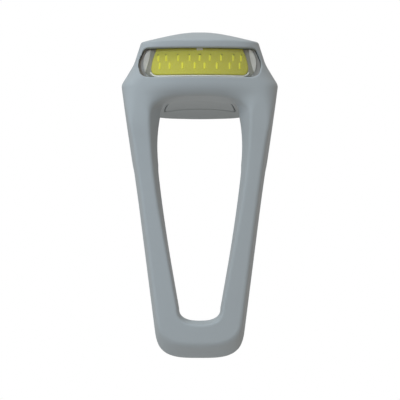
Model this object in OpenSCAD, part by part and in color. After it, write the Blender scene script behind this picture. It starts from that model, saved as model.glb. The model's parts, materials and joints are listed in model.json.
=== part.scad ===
// One-piece silicone strap-on bicycle headlight.
// The origin is on the handlebar axis. +X is to the right seen from the front,
// -Y points to the front and +Z is up. Sizes are in millimetres.

/* [Handlebar seat] */
// Radius of the seat that rests on the handlebar
seat_r = 16; // [14:0.1:17]
// Width of the tongue behind the bar
tongue_w = 27; // [24:0.5:29]
// Reach of the tongue's edge behind the bar axis
tongue_reach = 10.4; // [9.2:0.1:10.8]
// Thickness of the tongue
tongue_t = 2.7; // [2:0.1:3.5]
// Width of the hook that catches the strap
hook_w = 8; // [5:0.5:9]
// Height of the hook above the groove floor
hook_h = 3.2; // [2:0.1:5]
// Width of the groove that the strap end lies in
groove_w = 4.2; // [3.6:0.1:4.6]

/* [Strap] */
// Drop from the bar axis to the tip of the strap
loop_drop = 45.1; // [42:0.1:50]
// Thickness of the strap
strap_t = 4.2; // [3:0.1:5]
// Distance of the back of the strap in front of the seat
strap_set = 0.3; // [0.15:0.05:0.8]
// Length of one bending stretch of the strap
link_len = 10; // [9:0.1:10.5]
// Length of the end loop below the last bend
end_len = 13.4; // [12:0.1:14.5]
// Gap between two bending stretches
link_gap = 0.12; // [0.06:0.01:0.3]
// Narrowing of each side of the strap per millimetre of drop
leg_taper = 0.1275; // [0.11:0.0005:0.15]
// Extra width of each side of the strap where it meets the head
leg_flare = 0.45; // [0.3:0.05:0.8]
// Width of the outer bevel of the strap
outer_bevel = 1.0; // [0.5:0.1:1.4]
// Slope of the bottom face of the strap, measured along the drop
tip_bevel = 3.45; // [1.5:0.05:4]
// Height of the cross bar at its front face
bar_h = 4.95; // [4:0.05:5.5]

/* [Loop opening] */
// Half width of the opening at the front, near the head
open_front_half = 11.75; // [11:0.05:12.2]
// Half width of the opening at the back, near the head
open_back_half = 11.55; // [11:0.05:12]
// Half width of the opening at the front, at its lower end
open_front_low = 5.2; // [4.8:0.05:5.8]
// Half width of the opening at the back, at its lower end
open_back_low = 4.75; // [4.4:0.05:5]
// Height of the rounded arch from the front face into the underside
arch_h = 2.4; // [1.5:0.1:2.8]
// Depth of that rounding
arch_depth = 4.5; // [3:0.1:5.5]

/* [Head] */
// Width of the head at its shoulders
shoulder_w = 36.2; // [35.5:0.1:38]
// Height of the shoulders above the top of the seat
shoulder_h = 2.3; // [1.8:0.1:2.8]
// Width of the brow at its ridge
brow_w = 27.7; // [26.6:0.1:29]
// Height of the brow ridge above the top of the seat
ridge_h = 13.15; // [13:0.05:14.5]
// Height of the crown above the brow ridge
crown_h = 3; // [2.8:0.05:3.6]
// Drop of the crown from its top to its front and rear edges
crown_front = 3.1; // [2.6:0.05:3.6]
// Drop of the crown from its top to its side edges
crown_side = 2.88; // [2.4:0.02:3.2]
// Depth of the head from brow to back
head_depth = 26.1; // [25.9:0.1:29]
// Distance that the brow stands out in front of the strap
brow_out = 0.6; // [0.3:0.1:1.2]
// Sagitta of the curved front of the head
front_bow = 2.2; // [1.5:0.1:2.5]

/* [Window and lens] */
// Height of the window
window_h = 6.7; // [6.5:0.1:6.9]
// Half width of the window at its top
window_top_half = 12.9; // [12.6:0.1:13.2]
// Largest half width of the window
window_half = 14.4; // [14.1:0.1:14.6]
// Height from the window's top edge to the ridge
brow_h = 1.45; // [1.3:0.05:1.7]
// Half width of the lens
lens_half = 13.3; // [13.1:0.05:13.5]
// Thickness of the lens
lens_t = 1; // [0.8:0.1:1.5]
// Radius of the lens seen from above
lens_r = 31; // [30:0.5:34]
// Depth of the lens behind the brow
lens_set = 0.7; // [0.5:0.1:0.9]

/* [Light strip] */
// Half width of the yellow strip
strip_half = 11.1; // [10.5:0.1:11.2]
// Height of the yellow strip
strip_h = 6; // [5.5:0.1:6]
// Number of light dies in the upper row
dies_top = 9; // [5:1:9]
// Number of light dies in the lower row
dies_low = 8; // [5:1:8]
// Distance between two dies in a row
die_pitch = 2.45; // [2.2:0.05:2.5]
// Width of a die
die_w = 0.6; // [0.4:0.05:0.8]
// Height of a die
die_h = 1.4; // [0.8:0.05:1.5]

/* [Core] */
// Half width of the inner case
case_half = 12.2; // [12:0.1:12.4]
// Thickness of the silicone between the seat and the case
floor_t = 1.6; // [1.4:0.1:1.7]
// Height of the inner case
case_h = 9.9; // [9.8:0.05:10]
// Wall of the inner case
case_wall = 1.0; // [0.7:0.05:1.1]
// Depth of the inner case
case_depth = 17.8; // [17.6:0.1:18]
// Thickness of a circuit board
board_t = 0.8; // [0.6:0.1:0.9]
// Battery length along the width of the head
cell_l = 18; // [16:0.5:20]
// Battery width along the depth of the head
cell_w = 9.6; // [8:0.1:11]
// Battery thickness
cell_t = 3.8; // [3:0.1:3.9]

/* [Button and socket] */
// Radius of the push-button dome
button_r = 5.5; // [4.5:0.1:6]
// Travel of the button
button_travel = 0.5; // [0.3:0.05:0.5]
// Gap round the button dome
button_gap = 0.25; // [0.15:0.05:0.35]
// Radius of the switch stem
stem_r = 1.3; // [1:0.05:1.5]
// Thickness of the flap over the socket
flap_t = 1.0; // [0.8:0.05:1.1]
// Half width of the flap at its hinge
flap_front_half = 6.5; // [6:0.1:7.4]
// Half width of the flap at its free edge
flap_rear_half = 8.7; // [8:0.1:9]
// Length of the flap
flap_len = 9.8; // [9:0.1:10.4]
// Gap round the flap
flap_gap = 0.2; // [0.12:0.02:0.3]
// Outer width of the charging socket
socket_w = 8.9; // [8.9:0.05:9]
// Outer thickness of the charging socket
socket_t = 3.2; // [3.1:0.05:3.3]

/* [Hidden] */

$fn = 48;
fit = 0.1;
past = 1;
silicone_colour = [0.57, 0.60, 0.62];

strap_back_y = -(seat_r + strap_set);
strap_front_y = strap_back_y - strap_t;
head_front_y = strap_front_y - brow_out;
head_rear_y = head_front_y + head_depth;
shoulder_z = seat_r + shoulder_h;
ridge_z = seat_r + ridge_h;
last_bend_z = -(loop_drop - end_len);
first_bend_z = last_bend_z + 3 * link_len;

window_top = ridge_z - brow_h;
window_low = window_top - window_h;
lens_front_y = head_front_y + lens_set;
lens_mid_y = lens_front_y + lens_r;
strip_mid_z = window_low + window_h / 2 + 0.15;
strip_r = lens_r - lens_t - 0.7;
board_front_y = lens_front_y + 4.5;
board_back_y = board_front_y + board_t;

case_z = seat_r + floor_t;
case_top = case_z + case_h;
case_front_y = board_back_y + 0.3;
case_rear_y = case_front_y + case_depth;
case_round = 2.8;
part_z = case_z + 5.6;
inner_z = case_z + case_wall;
pcb_z = inner_z + cell_t + 1.1;
pcb_top = pcb_z + board_t;
pcb_half = case_half - case_wall - 0.3;
pcb_front_y = case_front_y + case_wall + 0.3;
pcb_rear_y = case_rear_y - case_wall - 0.2;

button_y = (head_front_y + head_rear_y) / 2 + 0.5;
switch_top = pcb_top + 1.3;
stem_low = switch_top + button_travel + fit;
stem_flange_z = case_top + button_travel + 0.1;
stem_flange_t = 0.5;
dome_low = stem_flange_z + stem_flange_t + 0.05;

socket_y = case_rear_y - case_wall - fit - socket_t / 2;
flap_front_y = socket_y - socket_t / 2 - 0.4;
flap_back_y = flap_front_y + flap_len;
flap_sag = 1.4;

groove_floor = seat_r + 1.3;
groove_y = head_rear_y + groove_w / 2;
hook_y = head_rear_y + groove_w;
hook_t = 3;

// Blends and small helpers
function mix(a, b, t) = a * (1 - t) + b * t;
function clamp01(t) = max(0, min(1, t));
function ease(z, a, b) = let (t = clamp01((z - a) / (b - a))) t * t * (3 - 2 * t);
function smin(a, b, k) = let (h = clamp01(0.5 + 0.5 * (b - a) / k)) mix(b, a, h) - k * h * (1 - h);
function smax(a, b, k) = -smin(-a, -b, k);
function bow_curve(a, b, c, n) = [for (i = [0:n]) let (t = i / n)
    a * (1 - t) * (1 - t) + b * 2 * t * (1 - t) + c * t * t];
function arc(c, r, a0, a1, n) = [for (i = [0:n]) let (a = a0 + (a1 - a0) * i / n)
    [c.x + r * cos(a), c.y + r * sin(a)]];
function mean(v, i = 0, s = [0, 0, 0]) = i == len(v) ? s / len(v) : mean(v, i + 1, s + v[i]);

// Solid through a list of rings with the same number of points
module loft(rings) {
    n = len(rings[0]);
    m = len(rings);
    points = concat([for (r = rings) each r], [mean(rings[0]), mean(rings[m - 1])]);
    sides = [for (j = [0:m - 2], i = [0:n - 1]) let (k = (i + 1) % n)
        each [[j * n + i, (j + 1) * n + i, (j + 1) * n + k], [j * n + i, (j + 1) * n + k, j * n + k]]];
    low = [for (i = [0:n - 1]) [m * n, i, (i + 1) % n]];
    high = [for (i = [0:n - 1]) [m * n + 1, (m - 1) * n + (i + 1) % n, (m - 1) * n + i]];
    polyhedron(points = points, faces = concat(sides, low, high));
}

// Outline of the head and strap, as values of the height z
slope_out = 0.9;
slope_rate = 0.607;
brow_lean = 0.324;
function leg_half(z) = shoulder_w / 2 + 0.22 - leg_flare - leg_taper * (shoulder_z - z)
    + leg_flare * ease(z, shoulder_z - 30.3, shoulder_z + 3.7);
function slope_half(z) = shoulder_w / 2 + slope_out - slope_rate * (z - shoulder_z);
function brow_half(z) = brow_w / 2 + brow_lean * (ridge_z - z);
function outer_half(z) = smin(leg_half(z), smax(slope_half(z), brow_half(z), 0.3), 0.5);
function front_y(z) = mix(strap_front_y, head_front_y, ease(z, 6, seat_r + 3));
function rear_y(z) = mix(strap_back_y, head_rear_y, ease(z, first_bend_z + 0.1, seat_r + 1.5))
    - 0.08 * max(0, z - seat_r - 6);

// Plan section of the silicone at the height z, counter-clockwise from the front centre
function plan_half(z) = let (
    w = outer_half(z),
    wf = w - mix(outer_bevel, 0.35, ease(z, 4, seat_r + 2)),
    bow = front_bow * ease(z, 8, seat_r + 6),
    rear_bow = 0.6 * ease(z, 12, seat_r + 6),
    rf = mix(0.9, 4.5, ease(z, 8, seat_r + 6)),
    rr = mix(0.7, 4, ease(z, 2, seat_r + 4)),
    yf = front_y(z),
    yr = rear_y(z),
    corner_f = [wf, yf + bow],
    corner_r = [w, yr - rear_bow],
    mid_y = min(corner_f.y + 0.93 * strap_t, corner_r.y - rr - 0.05),
    side_mid = [wf + (w - wf) * (mid_y - corner_f.y) / strap_t, mid_y],
    u = (side_mid - corner_f) / norm(side_mid - corner_f))
    concat(
        [for (i = [0:4]) let (x = (wf - rf) * i / 5) [x, yf + bow * pow(x / wf, 2)]],
        bow_curve([wf - rf, yf + bow * pow((wf - rf) / wf, 2)], corner_f,
            corner_f + u * min(rf, 0.9 * norm(side_mid - corner_f)), 4),
        [side_mid],
        bow_curve(corner_r - [0, rr], corner_r, [w - rr, yr - rear_bow * pow((w - rr) / w, 2)], 4),
        [for (i = [3:-1:0]) let (x = (w - rr) * i / 4) [x, yr - rear_bow * pow(x / w, 2)]]);
function whole_plan(half) = concat(half, [for (i = [len(half) - 2:-1:1]) [-half[i].x, half[i].y]]);
function plan_ring(z) = [for (p = whole_plan(plan_half(z))) [p.x, p.y, z]];

// Rings of the crown: the plan at the ridge, drawn in towards its centre
edge_z = ridge_z - 1.25;
crown_mid_y = (head_front_y + head_rear_y) / 2;
function side_rise(x) = norm([x, 5]) - 5;
function crown_drop(x, y) = norm([crown_side * side_rise(x) / side_rise(brow_half(edge_z)),
    crown_front * pow(2 * (y - crown_mid_y) / head_depth, 2)]);
function crown_ring(s, below) = [for (p = plan_ring(edge_z)) let (x = p.x * s, y = mix(crown_mid_y, p.y, s))
    [x, y, ridge_z + crown_h - crown_drop(x, y) - below]];

module head_blank() {
    wall_levels = concat(
        [for (i = [0:6]) mix(first_bend_z + link_gap / 2, seat_r - 2, i / 6)],
        [for (i = [0:9]) mix(seat_r - 0.4, edge_z, i / 9)]);
    crown_steps = [0.9, 0.78, 0.62, 0.44, 0.26, 0.1];
    loft(concat(
        [for (z = wall_levels) plan_ring(z)],
        [crown_ring(0.99, 0.5), crown_ring(0.977, 0.18), crown_ring(0.953, 0.03)],
        [for (s = crown_steps) crown_ring(s, 0)]));
}

// Straight stretch of both strap legs between two heights
module strap_blank(low, high) {
    loft([for (i = [0:2]) plan_ring(mix(low, high, i / 2))]);
}

// Outline of the end loop, clockwise seen from the front, with its sides drawn in
tip_z = -loop_drop;
function tip_outline(y, t, inset) = let (
    high = last_bend_z - link_gap / 2,
    round_z = mix(tip_z + 7, tip_z + 9.8, t),
    low = mix(tip_z, tip_z + tip_bevel, t) + inset,
    power = mix(3.4, 3, t),
    side = mix(0, outer_bevel + 0.05, t) + inset,
    right = concat(
        [for (i = [0:2]) [(leg_half(high) - side) * i / 3, high]],
        [[leg_half(high) - side, high]],
        [for (a = [0:9:90]) let (
            z = round_z - (round_z - low) * pow(sin(a), 2 / power),
            x = (leg_half(z) - side) * pow(cos(a), 2 / power)) [x, z]]))
    [for (p = concat(right, [for (i = [len(right) - 2:-1:1]) [-right[i].x, right[i].y]]))
        [p.x, y, p.y]];

module tip_blank() {
    loft([
        tip_outline(strap_front_y, 1, 0.75),
        tip_outline(strap_front_y + 0.1, 1, 0.3),
        tip_outline(strap_front_y + 0.45, 0.9, 0),
        tip_outline(strap_back_y - 0.9, 0.12, 0),
        tip_outline(strap_back_y - 0.35, 0, 0),
        tip_outline(strap_back_y, 0, 0.35)]);
}

// Opening of the loop, from the front outline to the back outline
open_low_front = tip_z + tip_bevel + bar_h;
open_low_back = open_low_front + 0.8;
open_mid_z = open_low_front + 3.6;
function open_draw(z) = 0.0108 * pow(min(max(z - seat_r + 15, 0), 11), 2);
function open_half(z, t) = mix(
    smin(open_front_low + 0.186 * (z - open_mid_z), open_front_half, 2.5),
    smin(open_back_low + 0.174 * (z - open_mid_z), open_back_half, 5.4) - open_draw(z), t);
under_z = seat_r + 0.45;
function arch_top(y) = let (t = clamp01((y - head_front_y) / arch_depth))
    under_z + arch_h * (1 - sqrt(1 - pow(1 - t, 2)));
function open_outline(y, top) = let (
    t = min(1, (y - strap_front_y) / strap_t),
    top_mid = seat_r - 4,
    low = mix(open_low_front, open_low_back, t),
    low_mid = open_mid_z,
    right = concat(
        [for (a = [90:-10:0]) let (z = top_mid + (top - top_mid) * pow(sin(a), 2 / 3))
            [open_half(top_mid, t) * pow(cos(a), 2 / 3), z]],
        [for (i = [1:7]) let (z = mix(top_mid, low_mid, i / 8)) [open_half(z, t), z]],
        [for (a = [0:15:90]) [open_half(low_mid, t) * pow(cos(a), 2 / 2.5),
            low_mid - (low_mid - low) * pow(sin(a), 2 / 2.5)]]))
    [for (p = concat(right, [for (i = [len(right) - 2:-1:1]) [-right[i].x, right[i].y]]))
        [p.x, y, p.y]];

module loop_opening() {
    arch_steps = [0, 0.04, 0.12, 0.24, 0.4, 0.62, 0.8, 1];
    loft(concat(
        [open_outline(head_front_y - past, arch_top(head_front_y))],
        [for (s = arch_steps) let (y = head_front_y + arch_depth * s) open_outline(y, arch_top(y))],
        [open_outline(strap_back_y + 2, under_z - 0.05),
            open_outline(flap_front_y - flap_gap - 0.1, seat_r + 0.02)]));
}

module bar_space(r = seat_r) {
    rotate([0, 90, 0]) cylinder(r = r, h = shoulder_w + 4, center = true, $fn = 96);
}

// Solid of an outline in front view, from one depth to another
module front_prism(outline, y0, y1) {
    translate([0, y1, 0]) rotate([90, 0, 0]) linear_extrude(y1 - y0) polygon(outline);
}

// Solid of an outline in side view, centred on the middle
module side_prism(outline, width) {
    translate([-width / 2, 0, 0]) rotate([90, 0, 90]) linear_extrude(width) polygon(outline);
}

module block(x0, x1, y0, y1, z0, z1) {
    translate([x0, y0, z0]) cube([x1 - x0, y1 - y0, z1 - z0]);
}

function both_sides(right) = concat(right, [for (i = [len(right) - 1:-1:0]) [-right[i].x, right[i].y]]);

// Window outline: narrow top, widest low on the side, rounded lower corners
window_wide_z = window_low + 2.6;
window_outline = both_sides(concat(
    bow_curve([window_top_half - 0.9, window_top], [window_top_half, window_top],
        [window_top_half + 0.3, window_top - 1], 3),
    bow_curve([window_half - 0.3, window_wide_z + 1], [window_half + 0.1, window_wide_z],
        [window_half - 0.1, window_wide_z - 0.9], 3),
    bow_curve([window_half - 0.5, window_low + 1.1], [window_half - 1, window_low],
        [window_half - 2.6, window_low], 3)));

// Lens outline: the window outline drawn in, with fully rounded ends
lens_low = window_low + 0.12;
lens_high = window_top - 0.12;
lens_outline = both_sides(concat(
    [[lens_half - 1.9, lens_high]],
    bow_curve([lens_half - 1.5, lens_high], [lens_half - 0.3, lens_high - 0.6],
        [lens_half, window_wide_z + 1], 4),
    bow_curve([lens_half, window_wide_z + 0.6], [lens_half - 0.1, lens_low + 0.3],
        [lens_half - 2, lens_low], 4)));

// Hook at the back of the head, seen from the side
hook_profile = concat(
    [[groove_y, seat_r - 1], [groove_y, groove_floor]],
    arc([groove_y, groove_floor + groove_w / 2], groove_w / 2, 270, 355, 6),
    arc([hook_y + hook_t / 2 - 0.2, groove_floor + hook_h - hook_t / 2], hook_t / 2, 165, 0, 8),
    [[hook_y + hook_t - 0.3, groove_floor - 1], [tongue_reach + 0.6, groove_floor - 2.6],
        [tongue_reach - 1, seat_r - 3]]);

// Tongue behind the bar: a curved plate with a bowed edge, and the hook that stands on it
tongue_round = 3;
tongue_bow_r = 106;
module tongue() {
    intersection() {
        bar_space(seat_r + tongue_t);
        rotate([-asin(tongue_reach / seat_r), 0, 0]) translate([0, 0, seat_r / 2]) linear_extrude(seat_r)
            intersection() {
                union() {
                    translate([-tongue_w / 2, -seat_r / 2]) square([tongue_w, seat_r / 2 - tongue_round]);
                    translate([tongue_round - tongue_w / 2, -seat_r / 2])
                        square([tongue_w - 2 * tongue_round, seat_r / 2]);
                    for (x = [-1, 1]) translate([x * (tongue_w / 2 - tongue_round), -tongue_round])
                        circle(r = tongue_round);
                }
                translate([0, -tongue_bow_r]) circle(r = tongue_bow_r, $fn = 180);
            }
    }
    side_prism(hook_profile, hook_w);
}

// Flap over the charging socket, lying in the seat
flap_edge_r = (pow(flap_rear_half, 2) + pow(flap_sag, 2)) / (2 * flap_sag);
module flap_plan(grow) {
    translate([0, 0, seat_r / 2]) linear_extrude(seat_r) difference() {
        polygon([[-flap_front_half - grow, flap_front_y - grow], [flap_front_half + grow, flap_front_y - grow],
            [flap_rear_half + grow, flap_back_y - 0.3 + grow], [-flap_rear_half - grow, flap_back_y - 0.3 + grow]]);
        translate([0, flap_back_y - flap_sag + flap_edge_r + grow]) circle(r = flap_edge_r, $fn = 120);
    }
}

module flap_shape(grow, r0, r1) {
    intersection() {
        flap_plan(grow);
        difference() {
            bar_space(r1);
            bar_space(r0);
        }
    }
}

socket_well_w = socket_w + 0.4;
socket_well_t = socket_t + 0.4;
module socket_well(z0, z1) {
    block(-socket_well_w / 2, socket_well_w / 2, socket_y - socket_well_t / 2,
        socket_y + socket_well_t / 2, z0, z1);
}

module silicone_skin() {
    color(silicone_colour) difference() {
        union() {
            head_blank();
            tongue();
        }
        loop_opening();
        bar_space();
        front_prism(window_outline, head_front_y - past, case_front_y + fit);
        rounded_block(case_half + fit, case_front_y - fit, case_rear_y + fit,
            case_z - fit, case_top + fit, case_round + fit);
        translate([0, button_y, case_top]) cylinder(r = button_r + button_gap, h = 2 * crown_h + past + 2);
        flap_shape(flap_gap, seat_r - past, seat_r + flap_t + flap_gap);
        socket_well(seat_r - past, case_z + past);
    }
}

module strap_link(high) {
    color(silicone_colour) difference() {
        strap_blank(high - link_len + link_gap / 2, high - link_gap / 2);
        loop_opening();
    }
}

module strap_link_1() strap_link(first_bend_z);
module strap_link_2() strap_link(first_bend_z - link_len);
module strap_link_3() strap_link(first_bend_z - 2 * link_len);

module strap_end_loop() {
    color(silicone_colour) difference() {
        tip_blank();
        loop_opening();
    }
}

module button_dome() {
    color(silicone_colour) intersection() {
        head_blank();
        translate([0, button_y, dome_low]) cylinder(r = button_r, h = 2 * crown_h + 2);
    }
}

module port_flap() {
    color(silicone_colour) union() {
        flap_shape(0, seat_r + 0.05, seat_r + flap_t);
        block(1.2 - socket_w / 2, socket_w / 2 - 1.2, socket_y - 0.8, socket_y + 0.8,
            seat_r + flap_t - 0.5, seat_r + flap_t + 0.6);
    }
}

module lens() {
    color([0.92, 0.93, 0.93, 0.5]) difference() {
        intersection() {
            front_prism(lens_outline, head_front_y - past, board_front_y - 0.2);
            translate([0, lens_mid_y, window_low - past]) cylinder(r = lens_r, h = window_h + 2 * past, $fn = 180);
        }
        translate([0, lens_mid_y, window_low - past])
            cylinder(r = lens_r - lens_t, h = window_h + 2 * past, $fn = 180);
    }
}

// Light strip: phosphor over two staggered rows of dies, in a white rim on a board
dam_w = 0.25;
light_board_half = lens_half - 0.7;
light_board_low = window_low + 0.3;
light_board_high = window_top - 0.3;
die_depth = 0.5;
mark_w = 1.5;
mark_h = 0.6;
strip_low = strip_mid_z - strip_h / 2;
strip_high = strip_mid_z + strip_h / 2;
function strip_outline(grow) = both_sides(concat([[strip_half - 0.8 + grow, strip_high + grow]],
    bow_curve([strip_half + grow, strip_high - 1.2], [strip_half + 0.1 + grow, strip_low - grow],
        [strip_half - 1.3, strip_low - grow], 4)));
function row(count, z) = [for (i = [0:count - 1]) [(i - (count - 1) / 2) * die_pitch, z]];
die_places = concat(row(dies_top, strip_mid_z + 1), row(dies_low, strip_mid_z - 0.9));

module dies(grow) {
    for (p = die_places)
        block(p.x - die_w / 2 - grow, p.x + die_w / 2 + grow, board_front_y - die_depth - grow,
            board_front_y + grow, p.y - die_h / 2 - grow, p.y + die_h / 2 + grow);
}

module mark(grow, y0, y1) {
    block(-mark_w / 2 - grow, mark_w / 2 + grow, y0, y1, strip_high - mark_h - grow, strip_high + 2 * grow);
}

module led_phosphor() {
    color([0.78, 0.78, 0.30]) difference() {
        intersection() {
            front_prism(strip_outline(0), head_front_y, board_front_y);
            translate([0, lens_mid_y, window_low - past]) cylinder(r = strip_r, h = window_h + 2 * past, $fn = 180);
        }
        dies(0.03);
        mark(0.05, head_front_y, board_front_y + past);
    }
}

module led_dies() {
    color([0.95, 0.92, 0.55]) dies(0);
}

module led_dam() {
    color([0.93, 0.93, 0.90]) difference() {
        intersection() {
            front_prism(strip_outline(dam_w), head_front_y, board_front_y);
            block(-lens_half, lens_half, head_front_y, board_front_y, window_low + fit, window_top - fit);
            translate([0, lens_mid_y, window_low]) cylinder(r = strip_r, h = window_h, $fn = 180);
        }
        front_prism(strip_outline(0.02), head_front_y - past, board_front_y + past);
        mark(0.05, head_front_y, board_front_y + past);
    }
}

module indicator_led() {
    color([0.95, 0.95, 0.93]) mark(0, lens_mid_y - strip_r + 0.1, board_front_y);
}

module led_board() {
    color([0.86, 0.87, 0.86]) block(-light_board_half, light_board_half, board_front_y, board_back_y,
        light_board_low, light_board_high);
}

module end_reflectors() {
    inner = strip_half + dam_w + 0.2;
    outer = lens_half - 0.15;
    color([0.80, 0.79, 0.76]) intersection() {
        front_prism(lens_outline, head_front_y, board_front_y);
        for (s = [-1, 1]) translate([0, 0, window_low]) linear_extrude(window_h)
            polygon([[s * inner, board_front_y], [s * inner, board_front_y - 0.15],
                [s * mix(inner, outer, 0.5), board_front_y - 0.4], [s * outer, board_front_y - 0.25],
                [s * outer, board_front_y]]);
    }
}

module lens_seal() {
    color([0.25, 0.26, 0.27]) difference() {
        intersection() {
            front_prism(window_outline, board_front_y, board_back_y);
            block(-window_half + 0.15, window_half - 0.15, head_front_y, case_front_y,
                window_low + 0.06, window_top - 0.06);
        }
        block(-light_board_half - 0.05, light_board_half + 0.05, head_front_y, case_front_y,
            light_board_low - 0.05, light_board_high + 0.05);
    }
}

module thermal_pad() {
    color([0.55, 0.60, 0.66]) block(-8, 8, board_back_y, case_front_y, strip_mid_z - 1.8, strip_mid_z + 1.8);
}

// Hard case in two halves, held by two screws at the back
screw_x = case_half - case_wall - 1.8;
screw_y = case_rear_y - case_wall - 1.7;
screw_r = 0.5;
boss_r = 1.5;
head_r = 1.1;
head_t = 0.7;
lead_x = 9.5;
lead_r = 0.3;
lead_z = pcb_top + lead_r + 0.03;

module rounded_block(x, y0, y1, z0, z1, r) {
    translate([0, 0, z0]) linear_extrude(z1 - z0) union() {
        translate([-x + r, y0]) square([2 * (x - r), y1 - y0]);
        translate([-x, y0 + r]) square([2 * x, y1 - y0 - 2 * r]);
        for (cx = [-x + r, x - r], cy = [y0 + r, y1 - r]) translate([cx, cy]) circle(r = r, $fn = 24);
    }
}

module at_screws() {
    for (x = [-screw_x, screw_x]) translate([x, screw_y, 0]) children();
}

module case_shell(z0, z1, inner_low, inner_high) {
    difference() {
        rounded_block(case_half, case_front_y, case_rear_y, z0, z1, case_round);
        rounded_block(case_half - case_wall, case_front_y + case_wall, case_rear_y - case_wall,
            inner_low, inner_high, case_round - case_wall);
    }
}

module case_lower() {
    color([0.20, 0.21, 0.22]) difference() {
        union() {
            case_shell(case_z, part_z, inner_z, part_z + past);
            at_screws() translate([0, 0, case_z + case_wall / 2]) cylinder(r = boss_r, h = pcb_z - case_z - case_wall / 2);
        }
        at_screws() translate([0, 0, inner_z]) cylinder(r = screw_r + 0.05, h = case_h, $fn = 24);
        socket_well(case_z - past, inner_z + past);
    }
}

module case_upper() {
    color([0.20, 0.21, 0.22]) difference() {
        union() {
            case_shell(part_z + 0.05, case_top, part_z - past, case_top - case_wall);
            at_screws() translate([0, 0, pcb_top + 0.05]) cylinder(r = boss_r, h = case_top - pcb_top - 0.5);
        }
        translate([0, button_y, case_top - 2 * case_wall]) cylinder(r = stem_r + 0.25, h = 3 * case_wall);
        at_screws() translate([0, 0, part_z]) cylinder(r = screw_r + 0.1, h = case_h, $fn = 24);
        at_screws() translate([0, 0, case_top - head_t - 0.1]) cylinder(r = head_r + 0.1, h = head_t + past);
        for (x = [-lead_x, lead_x]) translate([x, case_front_y - past, lead_z]) rotate([-90, 0, 0])
            cylinder(r = lead_r + 0.15, h = case_wall + 2 * past, $fn = 24);
    }
}

module case_screws() {
    color([0.75, 0.75, 0.76]) at_screws() difference() {
        union() {
            translate([0, 0, case_top - head_t - 0.1]) cylinder(r = head_r, h = head_t);
            translate([0, 0, inner_z + 0.4]) cylinder(r = screw_r, h = case_top - inner_z - 1, $fn = 24);
        }
        for (a = [0, 90]) rotate(a) translate([0, 0, case_top - 0.3])
            cube([1.3, 0.3, 0.6], center = true);
    }
}

// Main board with its parts
module main_board() {
    color([0.10, 0.35, 0.20]) difference() {
        rounded_block(pcb_half, pcb_front_y, pcb_rear_y, pcb_z, pcb_top, case_round - case_wall);
        at_screws() translate([0, 0, pcb_z - past]) cylinder(r = screw_r + 0.2, h = board_t + 2 * past, $fn = 24);
    }
}

module on_board(x, y, w, d, h) {
    translate([x - w / 2, y - d / 2, pcb_top]) cube([w, d, h]);
}

module board_chips() {
    color([0.12, 0.12, 0.13]) {
        on_board(-5.5, button_y, 3, 3, 0.75);
        on_board(-5.2, pcb_rear_y - 4.4, 2.9, 1.6, 1.0);
        on_board(5.2, pcb_rear_y - 3.4, 3, 3, 0.75);
    }
}

module power_inductor() {
    color([0.35, 0.34, 0.33]) translate([5.6, button_y, pcb_top]) {
        translate([-2, -2, 0]) cube([4, 4, 0.3]);
        cylinder(r = 1.4, h = 1.4);
        translate([0, 0, 1.4]) cylinder(r = 1.9, h = 0.3);
    }
}

module board_capacitors() {
    color([0.70, 0.58, 0.42]) {
        for (i = [0:3]) on_board(-5.5 + i * 1.5, pcb_front_y + 2.1, 0.6, 1.1, 0.55);
        for (i = [0:2]) on_board(8.9, pcb_front_y + 4.5 + i * 1.4, 1.1, 0.6, 0.55);
    }
}

module tact_switch() {
    color([0.78, 0.78, 0.76]) {
        on_board(0, button_y, 4, 4, 0.8);
        translate([0, button_y, pcb_top]) cylinder(r = 1, h = switch_top - pcb_top);
    }
}

module switch_stem() {
    color([0.88, 0.88, 0.86]) translate([0, button_y, 0]) {
        translate([0, 0, stem_low]) cylinder(r = stem_r, h = stem_flange_z + stem_flange_t - stem_low);
        translate([0, 0, stem_flange_z]) cylinder(r = 2 * stem_r, h = stem_flange_t);
    }
}

// Battery, its foam and its leads
cell_y = pcb_front_y + cell_w / 2 + 0.2;
pad_t = 0.3;
cell_z = inner_z + pad_t;
module battery_cell() {
    edge = cell_t / 2 - 0.6;
    color([0.72, 0.74, 0.76]) {
        translate([-cell_l / 2, cell_y, cell_z + cell_t / 2]) rotate([90, 0, 90])
            linear_extrude(cell_l - 0.8) union() {
                square([cell_w, 2 * 0.6], center = true);
                square([cell_w - 2 * edge, cell_t], center = true);
                for (y = [-1, 1], z = [-1, 1]) translate([y * (cell_w / 2 - edge), z * 0.6]) circle(r = edge);
            }
        block(cell_l / 2 - 1.1, cell_l / 2, cell_y - cell_w / 2 + 1, cell_y + cell_w / 2 - 1,
            cell_z + cell_t / 2 - 0.5, cell_z + cell_t / 2 + 0.5);
    }
}

module battery_pad() {
    color([0.15, 0.15, 0.16]) block(-cell_l / 2 + 1, cell_l / 2 - 1, cell_y - cell_w / 2 + 1.6,
        cell_y + cell_w / 2 - 1.6, inner_z, cell_z);
}

module battery_leads() {
    for (i = [0, 1]) color(i == 0 ? [0.75, 0.10, 0.10] : [0.1, 0.1, 0.1])
        translate([cell_l / 2 + 0.35, cell_y - 1.2 + 2.4 * i, cell_z + cell_t / 2]) {
            rotate([0, -90, 0]) cylinder(r = 0.28, h = 0.35, $fn = 24);
            sphere(r = 0.28, $fn = 24);
            cylinder(r = 0.28, h = pcb_z - cell_z - cell_t / 2, $fn = 24);
        }
}

module led_leads() {
    for (x = [-lead_x, lead_x]) color(x < 0 ? [0.1, 0.1, 0.1] : [0.75, 0.10, 0.10])
        translate([x, board_back_y, lead_z]) rotate([-90, 0, 0])
            cylinder(r = lead_r, h = pcb_front_y + 1.4 - board_back_y, $fn = 24);
}

// Charging socket, opening down through the seat
module stadium(w, t, z0, z1) {
    translate([0, socket_y, z0]) linear_extrude(z1 - z0) union() {
        square([w - t, t], center = true);
        for (s = [-1, 1]) translate([s * (w - t) / 2, 0]) circle(d = t);
    }
}

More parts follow.
